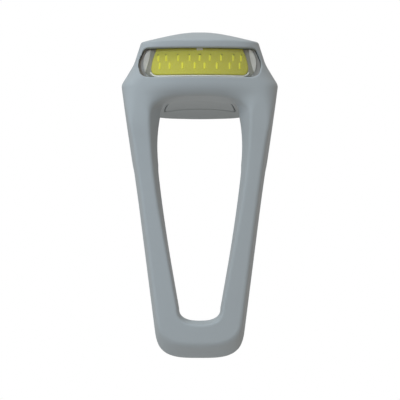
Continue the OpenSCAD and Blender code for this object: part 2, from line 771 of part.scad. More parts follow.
module usb_shell() {
    color([0.80, 0.81, 0.82]) difference() {
        stadium(socket_w, socket_t, case_z - 0.2, pcb_z);
        stadium(socket_w - 0.6, socket_t - 0.6, case_z - past, pcb_z + past);
    }
}

module usb_tongue() {
    color([0.15, 0.15, 0.16]) {
        stadium(socket_w - 0.7, socket_t - 0.7, pcb_z - 1.3, pcb_z);
        block(-3.3, 3.3, socket_y - 0.35, socket_y + 0.35, case_z + 0.8, pcb_z - 1);
    }
}

silicone_skin();
strap_link_1();
strap_link_2();
strap_link_3();
strap_end_loop();
button_dome();
port_flap();
lens();
lens_seal();
end_reflectors();
led_phosphor();
led_dies();
led_dam();
indicator_led();
led_board();
thermal_pad();
case_lower();
case_upper();
case_screws();
main_board();
board_chips();
power_inductor();
board_capacitors();
battery_cell();
battery_pad();
battery_leads();
led_leads();
usb_shell();
usb_tongue();
tact_switch();
switch_stem();
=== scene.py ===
import functools
import json
import math

import bmesh
import bpy
import numpy as np
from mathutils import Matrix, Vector


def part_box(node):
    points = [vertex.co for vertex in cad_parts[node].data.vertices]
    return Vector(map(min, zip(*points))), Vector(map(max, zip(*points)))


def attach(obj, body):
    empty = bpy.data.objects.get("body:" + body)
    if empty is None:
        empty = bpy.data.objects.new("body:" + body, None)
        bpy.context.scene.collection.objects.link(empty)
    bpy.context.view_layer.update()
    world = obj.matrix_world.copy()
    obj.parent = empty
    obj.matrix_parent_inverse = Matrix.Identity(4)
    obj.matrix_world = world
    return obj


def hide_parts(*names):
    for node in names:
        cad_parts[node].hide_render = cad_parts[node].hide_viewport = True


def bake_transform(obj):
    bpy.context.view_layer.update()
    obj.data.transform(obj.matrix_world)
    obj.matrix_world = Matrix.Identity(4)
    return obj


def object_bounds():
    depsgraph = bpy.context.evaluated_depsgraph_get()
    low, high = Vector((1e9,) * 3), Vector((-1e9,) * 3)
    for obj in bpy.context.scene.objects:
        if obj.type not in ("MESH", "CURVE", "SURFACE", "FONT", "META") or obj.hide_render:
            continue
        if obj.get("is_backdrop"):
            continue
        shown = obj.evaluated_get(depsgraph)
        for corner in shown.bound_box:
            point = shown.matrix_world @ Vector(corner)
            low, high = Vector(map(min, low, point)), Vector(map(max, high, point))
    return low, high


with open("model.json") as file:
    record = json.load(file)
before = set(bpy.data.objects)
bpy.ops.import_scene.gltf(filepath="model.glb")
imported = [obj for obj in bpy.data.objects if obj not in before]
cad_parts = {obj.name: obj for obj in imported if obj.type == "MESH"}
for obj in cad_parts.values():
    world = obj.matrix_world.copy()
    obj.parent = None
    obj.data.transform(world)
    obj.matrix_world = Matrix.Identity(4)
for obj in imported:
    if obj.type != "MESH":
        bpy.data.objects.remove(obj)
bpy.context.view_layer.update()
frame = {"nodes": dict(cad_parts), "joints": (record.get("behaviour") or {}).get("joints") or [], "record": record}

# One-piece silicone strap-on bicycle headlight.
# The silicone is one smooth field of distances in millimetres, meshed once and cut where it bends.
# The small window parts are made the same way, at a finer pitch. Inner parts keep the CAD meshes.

MM = 0.001


def box_mm(node):
    low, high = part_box(node)
    return np.array(low) / MM, np.array(high) / MM


# Sizes taken from the frame
SEAT_R = frame["record"]["mounts"][0]["dims"]["r_mm"]
SKIN_LOW, SKIN_HIGH = box_mm("silicone_skin")
LINK_LOW, LINK_HIGH = box_mm("strap_link_2")
TIP_LOW = box_mm("strap_end_loop")[0]
FLAP_LOW, FLAP_HIGH = box_mm("port_flap")
LENS_LOW, LENS_HIGH = box_mm("lens")
STRIP_LOW, STRIP_HIGH = box_mm("led_phosphor")
BOARD_FRONT = box_mm("led_board")[0][1]
SEAL_BACK = box_mm("lens_seal")[1][1]
CASE_LOW, CASE_HIGH = box_mm("case_lower")
CASE_TOP = box_mm("case_upper")[1][2]
DOME_LOW, DOME_HIGH = box_mm("button_dome")
SOCKET_LOW, SOCKET_HIGH = box_mm("usb_shell")
BENDS = [np.array(j["pos_m"]) / MM for j in frame["joints"] if j["name"].startswith("strap_bend")]
BEND_Z = [b[2] for b in BENDS]
CASE_MID = (CASE_LOW + CASE_HIGH) / 2
SOCKET_MID = (SOCKET_LOW + SOCKET_HIGH) / 2

STRAP_FRONT = LINK_LOW[1]
STRAP_BACK = LINK_HIGH[1]
STRAP_T = STRAP_BACK - STRAP_FRONT
HEAD_FRONT = STRAP_FRONT - 0.6
HEAD_REAR = HEAD_FRONT + 26.1
TIP_Z = TIP_LOW[2]

# Sizes of the head that the frame doesn't name, in millimetres
SHOULDER_HALF = 18.1
SHOULDER_Z = SEAT_R + 2.3
RIDGE_Z = SEAT_R + 13.15
CROWN_H = 3.0
CROWN_FRONT = 2.75
BROW_HALF = 13.85
BUTTON_Y = (DOME_LOW[1] + DOME_HIGH[1]) / 2
BUTTON_R = (DOME_HIGH[0] - DOME_LOW[0]) / 2
CROWN_SEAM = RIDGE_Z + 1.9


# Blends of values and of distances
def mix(a, b, t):
    return a + (b - a) * t


def ease(z, a, b):
    t = np.clip((z - a) / (b - a), 0, 1)
    return t * t * (3 - 2 * t)


def smin(a, b, k):
    h = np.clip(0.5 + 0.5 * (b - a) / k, 0, 1)
    return mix(b, a, h) - k * h * (1 - h)


def smax(a, b, k):
    return -smin(-a, -b, k)


def rounded_end(ax, half, up, height, power):
    """Distance to a band of the given half width whose end is a superellipse."""
    g = ((ax / half) ** power + (up / height) ** power) ** (1 / power)
    rise = np.hypot(ax ** (power - 1) / half ** power, up ** (power - 1) / height ** power)
    slope = rise / np.maximum(g, 1e-3) ** (power - 1)
    return (g - 1) / np.maximum(slope, 0.5 / half)


def rounded_box(x, y, z, centre, half, r):
    qx = np.abs(x - centre[0]) - half[0] + r
    qy = np.abs(y - centre[1]) - half[1] + r
    qz = np.abs(z - centre[2]) - half[2] + r
    outside = np.sqrt(np.maximum(qx, 0) ** 2 + np.maximum(qy, 0) ** 2 + np.maximum(qz, 0) ** 2)
    return outside + np.minimum(np.maximum(np.maximum(qx, qy), qz), 0) - r


def outline_distance(x, z, outline):
    """Signed distance to a closed outline in the plane."""
    nearest = None
    winding = None
    for (ax, az), (bx, bz) in zip(outline, outline[1:] + outline[:1]):
        ex, ez = bx - ax, bz - az
        px, pz = x - ax, z - az
        t = np.clip((px * ex + pz * ez) / (ex * ex + ez * ez), 0, 1)
        d = (px - ex * t) ** 2 + (pz - ez * t) ** 2
        crossed = ((az > z) != (bz > z)) & ((px * ez - pz * ex) * (bz - az) < 0)
        nearest = d if nearest is None else np.minimum(nearest, d)
        winding = crossed if winding is None else winding ^ crossed
    return np.where(winding, -1, 1) * np.sqrt(nearest)


def corner(a, b, c, steps=5):
    """Curve from a to c, rounded towards b."""
    ts = [i / steps for i in range(steps + 1)]
    return [tuple(a[k] * (1 - t) ** 2 + 2 * b[k] * t * (1 - t) + c[k] * t * t for k in (0, 1)) for t in ts]


def mirrored(right):
    return right + [(-p[0], p[1]) for p in reversed(right)]


# Silicone: outline of the head and strap at the height z
LEG_INSET = 0.23
LEG_TAPER = 0.1275
LEG_FLARE = 0.45
FLARE_LOW = SHOULDER_Z - 30.3
FLARE_HIGH = SHOULDER_Z + 3.7
SLOPE_OUT = 0.9
SLOPE_RATE = 0.607
BROW_LEAN = 0.324


def outer_half(z):
    flare = LEG_FLARE * ease(z, FLARE_LOW, FLARE_HIGH)
    leg = SHOULDER_HALF - LEG_INSET - LEG_TAPER * (SHOULDER_Z - z) + flare
    slope = SHOULDER_HALF + SLOPE_OUT - SLOPE_RATE * (z - SHOULDER_Z)
    brow = BROW_HALF + BROW_LEAN * (RIDGE_Z - z)
    return smin(leg, smax(slope, brow, 0.3), 0.5)


# Crown: height of its surface, with a shallow ring round the press area of the button
RING_DEPTH = (HEAD_REAR - HEAD_FRONT) / 2
CROWN_MID_Y = (HEAD_FRONT + HEAD_REAR) / 2
BUTTON_GROOVE = 0.16
BUTTON_GROOVE_W = 0.4
CROWN_SIDE = 0.285
CROWN_FLAT = 5


def crown_z(x, y):
    aside = CROWN_SIDE * (np.hypot(x, CROWN_FLAT) - CROWN_FLAT)
    drop = np.hypot(aside, CROWN_FRONT * ((y - CROWN_MID_Y) / RING_DEPTH) ** 2)
    groove = np.exp(-((np.hypot(x, y - BUTTON_Y) - BUTTON_R) / BUTTON_GROOVE_W) ** 2)
    return RIDGE_Z + CROWN_H - drop - BUTTON_GROOVE * groove


# Pairs of values below are for the strap and for the head, or for the back and the front of the tip
BEVEL = (1.0, 0.35)
FRONT_BOW = 2.2
REAR_BOW = 0.6
REAR_LEAN = 0.08
FRONT_EDGE = (0.9, 4.5)
REAR_EDGE = (0.7, 4)
TIP_ROUND = (7, 9.8)
TIP_BEVEL = 3.45
TIP_POWER = (3.4, 3)


def blank(x, y, z):
    """Head and strap before anything is cut out of them."""
    ax = np.abs(x)
    w = outer_half(z)
    bevel = mix(*BEVEL, ease(z, 4, SEAT_R + 2))
    bow = FRONT_BOW * ease(z, 8, SEAT_R + 6)
    rear_bow = REAR_BOW * ease(z, 12, SEAT_R + 6)
    front_y = mix(STRAP_FRONT, HEAD_FRONT, ease(z, 6, SEAT_R + 3))
    rear_y = mix(STRAP_BACK, HEAD_REAR, ease(z, BEND_Z[0] + 0.1, SEAT_R + 1.5))
    rear_y = rear_y - REAR_LEAN * np.maximum(0, z - SEAT_R - 6)
    t = np.clip((front_y + bow + STRAP_T - y) / STRAP_T, 0, 1)
    round_z = TIP_Z + mix(*TIP_ROUND, t)
    low_z = TIP_Z + TIP_BEVEL * t
    side = rounded_end(ax, w - bevel * t, np.maximum(round_z - z, 0), round_z - low_z, mix(*TIP_POWER, t))
    front = front_y + bow * (ax / (w - bevel)) ** 2 - y
    rear = y - rear_y + rear_bow * (ax / w) ** 2
    front_edge = smax(front, side, mix(*FRONT_EDGE, ease(z, 8, SEAT_R + 6)))
    rear_edge = smax(rear, side, mix(*REAR_EDGE, ease(z, 2, SEAT_R + 4)))
    return smax(np.maximum(front_edge, rear_edge), z - crown_z(x, y), 0.4)


# Tongue behind the bar with the hook that holds the strap
TONGUE_HALF = 13.5
TONGUE_R = SEAT_R + 2.7
TONGUE_ANGLE = math.asin(10.4 / SEAT_R)
TONGUE_BOW_R = 106
HOOK_Y = SKIN_HIGH[1] - 1.5
HOOK_HALF = 4.0
HOOK_TOP = SEAT_R + 4.4
HOOK_R = 1.5
STEM_MID = (0, HOOK_Y + 0.1, HOOK_TOP - 3.7)
STEM_HALF = (HOOK_HALF, 1.35, 3.4)


def tongue(x, y, z):
    ax = np.abs(x)
    end = y * math.cos(TONGUE_ANGLE) - z * math.sin(TONGUE_ANGLE)
    plan = smax(ax - TONGUE_HALF, end + x * x / (2 * TONGUE_BOW_R), 5)
    shell = smax(plan, np.hypot(y, z) - TONGUE_R, 1.3)
    shell = np.maximum(shell, 1 - y)
    stem = rounded_box(x, y, z, STEM_MID, STEM_HALF, 0.9)
    along = np.maximum(ax - HOOK_HALF + HOOK_R, 0)
    bead = np.sqrt(along ** 2 + (y - HOOK_Y + 0.15) ** 2 + (z - HOOK_TOP + 1.45) ** 2) - HOOK_R
    return smin(shell, smin(stem, bead, 0.8), 0.9)


# Opening of the loop: a tapering slot with a soft arch under the window
OPEN_LOW_FRONT = TIP_Z + 8.4
OPEN_LOW_BACK = OPEN_LOW_FRONT + 0.8
OPEN_MID = OPEN_LOW_FRONT + 3.6
OPEN_RATE_FRONT, OPEN_RATE_BACK = 0.186, 0.174
OPEN_HALF_FRONT, OPEN_HALF_BACK = 11.75, 11.55
OPEN_START_FRONT, OPEN_START_BACK = 5.2, 4.75
# The back of the opening draws in over this height, by this rate times the height squared
DRAW_RATE = 0.0108
DRAW_LOW = SEAT_R - 15
DRAW_LEN = 11
ARCH_LOW = SEAT_R - 4
UNDER_Z = SEAT_R + 0.45
FLAP_GAP = 0.2


def opening(x, y, z):
    t = np.clip((y - STRAP_FRONT) / STRAP_T, -0.3, 1)
    roof = mix(UNDER_Z, SEAT_R + 0.02, np.clip((y - STRAP_BACK) / (FLAP_LOW[1] - STRAP_BACK), 0, 1))
    level = np.clip(z, OPEN_MID, ARCH_LOW)
    front = smin(OPEN_START_FRONT + OPEN_RATE_FRONT * (level - OPEN_MID), OPEN_HALF_FRONT, 2.5)
    back = smin(OPEN_START_BACK + OPEN_RATE_BACK * (level - OPEN_MID), OPEN_HALF_BACK, 5.4)
    drawn_in = DRAW_RATE * np.clip(level - DRAW_LOW, 0, DRAW_LEN) ** 2
    half = mix(front, back - drawn_in, t)
    beyond = np.maximum(z - ARCH_LOW, 0) + np.maximum(OPEN_MID - z, 0)
    height = np.where(z > 0, roof - ARCH_LOW, OPEN_MID - mix(OPEN_LOW_FRONT, OPEN_LOW_BACK, t))
    slot = rounded_end(np.abs(x), half, beyond, height, np.where(z > 0, 3, 2.5))
    return smax(slot, y - FLAP_LOW[1] + FLAP_GAP, 0.4)


# Window: narrow top, widest low on the side, rounded lower corners
WINDOW_TOP = RIDGE_Z - 1.45
WINDOW_LOW = WINDOW_TOP - 6.82
WIDE_Z = WINDOW_LOW + 2.6
WINDOW_TOP_HALF = 12.9
WINDOW_HALF = 14.4
WINDOW = mirrored(
    corner((WINDOW_TOP_HALF - 0.9, WINDOW_TOP), (WINDOW_TOP_HALF, WINDOW_TOP),
           (WINDOW_TOP_HALF + 0.4, WINDOW_TOP - 0.8))
    + corner((WINDOW_TOP_HALF + 0.7, WINDOW_TOP - 1.6), (WINDOW_HALF - 0.1, WIDE_Z + 1.6),
             (WINDOW_HALF - 0.05, WIDE_Z))
    + corner((WINDOW_HALF - 0.5, WINDOW_LOW + 1.1), (WINDOW_HALF - 1, WINDOW_LOW),
             (WINDOW_HALF - 2.6, WINDOW_LOW)))
CAVITY_FRONT = SEAL_BACK + 0.4
CAVITY_GAP = 0.1
CAVITY_R = 2.9
FLAP_FRONT_HALF = 6.5
FLAP_SAG = 1.4
# Where the sides of the flap begin to curve in towards the hinge, and by how much
FLAP_CURVE_Y = 4.4
FLAP_CURVE = 1.5
# Heights of the room round the switch, and lowest height that the socket's pocket may reach
HOLLOW_Z = 28.6
HOLLOW_HALF = 2.0
POCKET_LOW_Z = 8


def flap_plan(x, y, grow):
    """Plan of the flap: sides that curve in towards the hinge, and a free edge that bows inwards."""
    front = FLAP_LOW[1]
    rear = FLAP_HIGH[1] + 0.1
    sag = FLAP_SAG
    half_front = FLAP_FRONT_HALF
    half_rear = FLAP_HIGH[0]
    slope = (half_rear - half_front) / (rear - front)
    ahead = np.clip((FLAP_CURVE_Y - y) / (FLAP_CURVE_Y - front), 0, 1)
    side = (np.abs(x) - half_front - slope * (y - front) + FLAP_CURVE * ahead ** 2) / math.hypot(1, slope)
    edge_r = (half_rear ** 2 + sag ** 2) / (2 * sag)
    rear_edge = edge_r - np.hypot(x, y - (rear - sag + edge_r))
    return smax(side - grow * (1 + 1.2 * ahead), rear_edge - 0.15 * grow, 0.6)


def silicone(x, y, z):
    r = np.hypot(y, z)
    edge = mix(0.7, 3.6, ease(z, 12, SEAT_R + 1.5))
    body = smin(smax(blank(x, y, z), -opening(x, y, z), edge), tongue(x, y, z), 1.0)
    body = smax(body, SEAT_R - r, 0.5)
    window = np.maximum(outline_distance(x, z, WINDOW), y - CAVITY_FRONT)
    body = smax(body, -window, 0.4)
    case_half = (CASE_HIGH[0] + CAVITY_GAP, (CASE_HIGH[1] - CASE_LOW[1]) / 2 + CAVITY_GAP, 50)
    plan = rounded_box(x, y, 0 * z, (0, CASE_MID[1], 0), case_half, CAVITY_R)
    core = np.maximum(np.maximum(plan, CASE_LOW[2] - CAVITY_GAP - z), z - CASE_TOP - CAVITY_GAP)
    hollow = np.maximum(np.hypot(x, y - BUTTON_Y) - BUTTON_R - 0.25, np.abs(z - HOLLOW_Z) - HOLLOW_HALF)
    pocket = np.maximum(flap_plan(x, y, FLAP_GAP), r - SEAT_R - 1.2)
    pocket = np.maximum(np.maximum(pocket, FLAP_LOW[1] - y), POCKET_LOW_Z - z)
    well_half = (SOCKET_HIGH[0] + 0.2, SOCKET_HIGH[1] - SOCKET_MID[1] + 0.2, 2.6)
    well = rounded_box(x, y, z, (0, SOCKET_MID[1], SEAT_R + 1), well_half, 0.6)
    inner = np.minimum(np.minimum(core, hollow), np.minimum(pocket, well))
    return smax(body, -inner, 0.2)


# Meshing: the zero level of a field, as quads between neighbouring cells of a grid
COARSE = 1


def gradient(field, points):
    e = 0.02
    x, y, z = points.T
    steps = ((e, 0, 0), (0, e, 0), (0, 0, e))
    rises = [field(x + a, y + b, z + c) - field(x - a, y - b, z - c) for a, b, c in steps]
    return np.stack(rises, 1) / (2 * e)


def settle(field, points, pitch, rounds=3):
    """Points moved onto the zero level of the field."""
    for _ in range(rounds):
        g = gradient(field, points)
        value = field(*points.T)
        step = -(value / np.maximum((g * g).sum(1), 0.05))[:, None] * g
        size = np.maximum(np.linalg.norm(step, axis=1, keepdims=True), 1e-9)
        points = points + step * np.minimum(1, 0.6 * pitch / size)
    return points


EDGES = [((0, 0, 0), (1, 0, 0)), ((0, 1, 0), (1, 1, 0)), ((0, 0, 1), (1, 0, 1)), ((0, 1, 1), (1, 1, 1)),
         ((0, 0, 0), (0, 1, 0)), ((1, 0, 0), (1, 1, 0)), ((0, 0, 1), (0, 1, 1)), ((1, 0, 1), (1, 1, 1)),
         ((0, 0, 0), (0, 0, 1)), ((1, 0, 0), (1, 0, 1)), ((0, 1, 0), (0, 1, 1)), ((1, 1, 0), (1, 1, 1))]


def field_mesh(field, low, high, pitch):
    """Points in millimetres and quads of the zero level inside a box."""
    axes = [np.arange(a - 1.37 * pitch, b + 2 * pitch, pitch) for a, b in zip(low, high)]
    values = field(axes[0][:, None, None], axes[1][None, :, None], axes[2][None, None, :])
    values = np.broadcast_to(values, [len(a) for a in axes])
    inside = values < 0
    nx, ny, nz = (n - 1 for n in inside.shape)
    corners = [(i, j, k) for i in (0, 1) for j in (0, 1) for k in (0, 1)]
    count = sum(inside[i:nx + i, j:ny + j, k:nz + k].astype(np.int8) for i, j, k in corners)
    cells = np.argwhere((count > 0) & (count < 8))
    index = np.full(count.shape, -1, np.int64)
    index[tuple(cells.T)] = np.arange(len(cells))
    total = np.zeros((len(cells), 3))
    crossings = np.zeros(len(cells))
    for a, b in EDGES:
        va = values[tuple((cells + a).T)]
        vb = values[tuple((cells + b).T)]
        crossed = (va < 0) != (vb < 0)
        t = np.where(crossed, va / np.where(crossed, va - vb, 1), 0)
        total += crossed[:, None] * (np.array(a) + t[:, None] * (np.array(b) - np.array(a)))
        crossings += crossed
    origin = np.array([a[0] for a in axes])
    points = origin + (cells + total / crossings[:, None]) * pitch
    quads = []
    for axis in range(3):
        u, v = (axis + 1) % 3, (axis + 2) % 3
        start = [slice(1, -1)] * 3
        start[axis] = slice(0, -1)
        end = list(start)
        end[axis] = slice(1, None)
        first, second = inside[tuple(start)], inside[tuple(end)]
        place = np.argwhere(first != second)
        outward = first[tuple(place.T)]
        offset = np.ones(3, int)
        offset[axis] = 0
        place = place + offset
        ring = []
        for du, dv in ((1, 1), (0, 1), (0, 0), (1, 0)):
            p = place.copy()
            p[:, u] -= du
            p[:, v] -= dv
            ring.append(index[tuple(p.T)])
        ring = np.stack(ring, 1)
        ring[~outward] = ring[~outward][:, ::-1]
        quads.append(ring)
    return settle(field, points, pitch), np.concatenate(quads)


def mesh_object(name, points, quads):
    mesh = bpy.data.meshes.new(name)
    mesh.vertices.add(len(points))
    mesh.vertices.foreach_set("co", (points * MM).astype(np.float32).ravel())
    mesh.loops.add(quads.size)
    mesh.loops.foreach_set("vertex_index", quads.astype(np.int32).ravel())
    mesh.polygons.add(len(quads))
    mesh.polygons.foreach_set("loop_start", np.arange(0, quads.size, 4, dtype=np.int32))
    mesh.update(calc_edges=True)
    mesh.validate()
    obj = bpy.data.objects.new(name, mesh)
    bpy.context.scene.collection.objects.link(obj)
    return obj


def shade(obj, field, caps=()):
    """Smooth normals from the field; the flat caps at the heights in caps keep their own."""
    mesh = obj.data
    points = np.zeros(len(mesh.vertices) * 3, np.float32)
    mesh.vertices.foreach_get("co", points)
    points = points.reshape(-1, 3).astype(float) / MM
    normals = gradient(field, points)
    normals /= np.maximum(np.linalg.norm(normals, axis=1, keepdims=True), 1e-9)
    corners = np.zeros(len(mesh.loops), np.int32)
    mesh.loops.foreach_get("vertex_index", corners)
    by_corner = normals[corners]
    for face in mesh.polygons:
        if len(face.vertices) > 4 and any(abs(face.center[2] / MM - z) < 1e-3 for z in caps):
            by_corner[face.loop_start:face.loop_start + face.loop_total] = face.normal
    mesh.polygons.foreach_set("use_smooth", np.ones(len(mesh.polygons), bool))
    mesh.normals_split_custom_set([tuple(n) for n in by_corner])


def cut_piece(whole, name, low=None, high=None):
    """Copy of a mesh between two heights, closed with flat caps."""
    bm = bmesh.new()
    bm.from_mesh(whole.data)
    for level, facing in ((low, -1), (high, 1)):
        if level is None:
            continue
        geometry = bm.verts[:] + bm.edges[:] + bm.faces[:]
        cut = bmesh.ops.bisect_plane(bm, geom=geometry, plane_co=(0, 0, level * MM), plane_no=(0, 0, facing),
                                     clear_outer=True)["geom_cut"]
        rim = [e for e in cut if isinstance(e, bmesh.types.BMEdge)]
        bmesh.ops.edgenet_fill(bm, edges=rim)
    bmesh.ops.recalc_face_normals(bm, faces=bm.faces[:])
    mesh = bpy.data.meshes.new(name)
    bm.to_mesh(mesh)
    bm.free()
    obj = bpy.data.objects.new(name, mesh)
    bpy.context.scene.collection.objects.link(obj)
    return obj


def made(name, field, low, high, pitch, body, material, nodes):
    """A piece of its own from a field, on one body, in place of some CAD nodes."""
    obj = mesh_object(name, *field_mesh(field, low, high, pitch * COARSE))
    shade(obj, field)
    obj.data.materials.append(material)
    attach(obj, body)
    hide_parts(*nodes)
    return obj


# Materials
GRAIN_DEPTH = 2e-5


def noise(nodes, links, scale, detail=4):
    place = nodes.new("ShaderNodeTexCoord")
    texture = nodes.new("ShaderNodeTexNoise")
    texture.inputs["Scale"].default_value = scale
    texture.inputs["Detail"].default_value = detail
    links.new(place.outputs["Object"], texture.inputs["Vector"])
    return texture.outputs["Fac"]


def material(name, colour, rough, metal=0.0, spread=0.06, scale=400, grain=3000, bump=0.1, **inputs):
    """Principled finish with a slight mottle in its colour and roughness, and a fine grain."""
    made_of = bpy.data.materials.new(name)
    made_of.use_nodes = True
    nodes, links = made_of.node_tree.nodes, made_of.node_tree.links
    shader = nodes["Principled BSDF"]
    shader.inputs["Metallic"].default_value = metal
    for key, value in inputs.items():
        shader.inputs[key.replace("_", " ")].default_value = value
    mottle = noise(nodes, links, scale)
    ramp = nodes.new("ShaderNodeMix")
    ramp.data_type = "RGBA"
    ramp.inputs["A"].default_value = [c * (1 - spread) for c in colour] + [1]
    ramp.inputs["B"].default_value = [min(1, c * (1 + spread)) for c in colour] + [1]
    links.new(mottle, ramp.inputs["Factor"])
    links.new(ramp.outputs["Result"], shader.inputs["Base Color"])
    sheen = nodes.new("ShaderNodeMapRange")
    sheen.inputs["To Min"].default_value = max(0, rough - 0.06)
    sheen.inputs["To Max"].default_value = min(1, rough + 0.06)
    links.new(mottle, sheen.inputs["Value"])
    links.new(sheen.outputs["Result"], shader.inputs["Roughness"])
    relief = nodes.new("ShaderNodeBump")
    relief.inputs["Strength"].default_value = bump
    relief.inputs["Distance"].default_value = GRAIN_DEPTH
    links.new(noise(nodes, links, grain, 2), relief.inputs["Height"])
    links.new(relief.outputs["Normal"], shader.inputs["Normal"])
    made_of.diffuse_color = (*colour, 1)
    return made_of


def clear_material(name):
    """Thin clear plastic: see-through, with gloss on its outer faces only."""
    made_of = bpy.data.materials.new(name)
    made_of.use_nodes = True
    nodes, links = made_of.node_tree.nodes, made_of.node_tree.links
    nodes.clear()
    out = nodes.new("ShaderNodeOutputMaterial")
    through = nodes.new("ShaderNodeBsdfTransparent")
    through.inputs["Color"].default_value = (0.97, 0.975, 0.97, 1)
    gloss = nodes.new("ShaderNodeBsdfGlossy")
    gloss.inputs["Roughness"].default_value = 0.24
    fresnel = nodes.new("ShaderNodeFresnel")
    fresnel.inputs["IOR"].default_value = 1.45
    relief = nodes.new("ShaderNodeBump")
    relief.inputs["Strength"].default_value = 0.05
    relief.inputs["Distance"].default_value = 1e-5
    links.new(noise(nodes, links, 500, 2), relief.inputs["Height"])
    links.new(relief.outputs["Normal"], gloss.inputs["Normal"])
    side = nodes.new("ShaderNodeNewGeometry")
    outer = nodes.new("ShaderNodeMath")
    outer.operation = "SUBTRACT"
    outer.inputs[0].default_value = 1
    outer.use_clamp = True
    links.new(side.outputs["Backfacing"], outer.inputs[1])
    share = nodes.new("ShaderNodeMath")
    share.operation = "MULTIPLY"
    links.new(fresnel.outputs["Fac"], share.inputs[0])
    links.new(outer.outputs["Value"], share.inputs[1])
    both = nodes.new("ShaderNodeMixShader")
    links.new(share.outputs["Value"], both.inputs["Fac"])
    links.new(through.outputs["BSDF"], both.inputs[1])
    links.new(gloss.outputs["BSDF"], both.inputs[2])
    links.new(both.outputs["Shader"], out.inputs["Surface"])
    return made_of


FINISHES = {
    "silicone": dict(colour=(0.317, 0.357, 0.378), rough=0.72, spread=0.03, scale=120, grain=5000, bump=0.12,
                     Specular_IOR_Level=0.35),
    "phosphor": dict(colour=(0.61, 0.575, 0.067), rough=0.5, spread=0.05, scale=900),
    "die": dict(colour=(0.92, 0.88, 0.06), rough=0.3, spread=0.03),
    "white_plastic": dict(colour=(0.84, 0.83, 0.76), rough=0.45),
    "dark_plastic": dict(colour=(0.035, 0.037, 0.04), rough=0.5),
    "bright_metal": dict(colour=(0.62, 0.61, 0.585), rough=0.4, metal=0.3, spread=0.06),
    "steel": dict(colour=(0.55, 0.55, 0.56), rough=0.28, metal=1.0),
    "board_white": dict(colour=(0.62, 0.62, 0.60), rough=0.5),
    "board_green": dict(colour=(0.015, 0.09, 0.04), rough=0.35, scale=1500, spread=0.25),
    "chip_black": dict(colour=(0.02, 0.02, 0.022), rough=0.45, bump=0.3),
    "ferrite": dict(colour=(0.09, 0.085, 0.08), rough=0.7, spread=0.2),
    "ceramic": dict(colour=(0.42, 0.30, 0.18), rough=0.4),
    "pouch": dict(colour=(0.55, 0.57, 0.60), rough=0.3, metal=0.9, scale=600, bump=0.4, grain=900),
    "foam": dict(colour=(0.03, 0.03, 0.03), rough=0.95, bump=0.8, grain=1500),
    "wire": dict(colour=(0.40, 0.02, 0.015), rough=0.4),
    "pad_blue": dict(colour=(0.22, 0.32, 0.45), rough=0.8, bump=0.3),
}
LOOK = {slot: material(slot, **values) for slot, values in FINISHES.items()}
LOOK["clear_lens"] = clear_material("clear_lens")
SEAL_GREY = material("seal_grey", (0.40, 0.385, 0.36), 0.35, scale=1200, spread=0.12)
# Darker copy of the reflector's grey: painted shade for the band next to the strip
REFLECTOR_PAINTED_SHADE = material("reflector_painted_shade", (0.31, 0.30, 0.255), 0.4, scale=1200, spread=0.08)
DIE_SPOT = material("die_spot", (0.28, 0.26, 0.03), 0.5)

NODE_SLOT = {
    "case_lower": "dark_plastic", "case_upper": "dark_plastic", "case_screws": "steel",
    "main_board": "board_green", "led_board": "board_white", "thermal_pad": "pad_blue",
    "board_chips": "chip_black", "power_inductor": "ferrite", "board_capacitors": "ceramic",
    "battery_cell": "pouch", "battery_pad": "foam", "battery_leads": "wire", "led_leads": "wire",
    "usb_shell": "bright_metal", "usb_tongue": "chip_black", "tact_switch": "steel",
    "switch_stem": "white_plastic", "lens_seal": "dark_plastic", "end_reflectors": "bright_metal",
    "led_dies": "die", "led_dam": "white_plastic", "indicator_led": "white_plastic",
}
for node, slot_name in NODE_SLOT.items():
    obj = frame["nodes"][node]
    obj.data.materials.clear()
    obj.data.materials.append(SEAL_GREY if node == "lens_seal" else LOOK[slot_name])


# Silicone pieces: one mesh, cut at heights between the bends, one piece across each joint

PITCH = 0.25 * COARSE
whole = mesh_object("silicone_whole", *field_mesh(silicone, np.minimum(SKIN_LOW, TIP_LOW),
                    np.array([SKIN_HIGH[0], SKIN_HIGH[1], RIDGE_Z + CROWN_H]), PITCH))
HALF_LINK = (BEND_Z[0] - BEND_Z[1]) / 2
SEAMS = [z - HALF_LINK for z in BEND_Z[:3]]
# name, lowest height, highest height, bodies, height of the bend, nodes it stands for
SOFT_PIECES = [
    ("head_skin", SEAMS[0], CROWN_SEAM, ("root", "strap_1"), BEND_Z[0], ["silicone_skin"]),
    ("strap_upper", SEAMS[1], SEAMS[0], ("strap_1", "strap_2"), BEND_Z[1], ["strap_link_1"]),
    ("strap_middle", SEAMS[2], SEAMS[1], ("strap_2", "strap_3"), BEND_Z[2], ["strap_link_2"]),
    ("strap_lower", None, SEAMS[2], ("strap_3", "strap_end"), BEND_Z[3],
     ["strap_link_3", "strap_end_loop"]),
    ("crown_skin", CROWN_SEAM, None, ("root", "button"), None, ["button_dome"]),
]
for name, low, high, bodies, bend, nodes in SOFT_PIECES:
    piece = cut_piece(whole, name, low, high)
    shade(piece, silicone, [z for z in (low, high) if z is not None])
    piece.data.materials.append(LOOK["silicone"])
    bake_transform(piece)
    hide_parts(*nodes)
bpy.data.objects.remove(whole)

# Boss under the crown that carries the push down to the switch stem
BOSS_R = 3.0
BOSS_LOW = DOME_LOW[2]
BOSS_TOP = CROWN_SEAM + 0.4


def button_boss(x, y, z):
    return rounded_box(np.hypot(x, y - BUTTON_Y), 0 * x, z, (0, 0, (BOSS_LOW + BOSS_TOP) / 2),
                       (BOSS_R, 9, (BOSS_TOP - BOSS_LOW) / 2), 0.3)


made("button_boss", button_boss, (-BOSS_R, BUTTON_Y - BOSS_R, BOSS_LOW),
     (BOSS_R, BUTTON_Y + BOSS_R, BOSS_TOP), 0.3, "button", LOOK["silicone"], ["button_dome"])


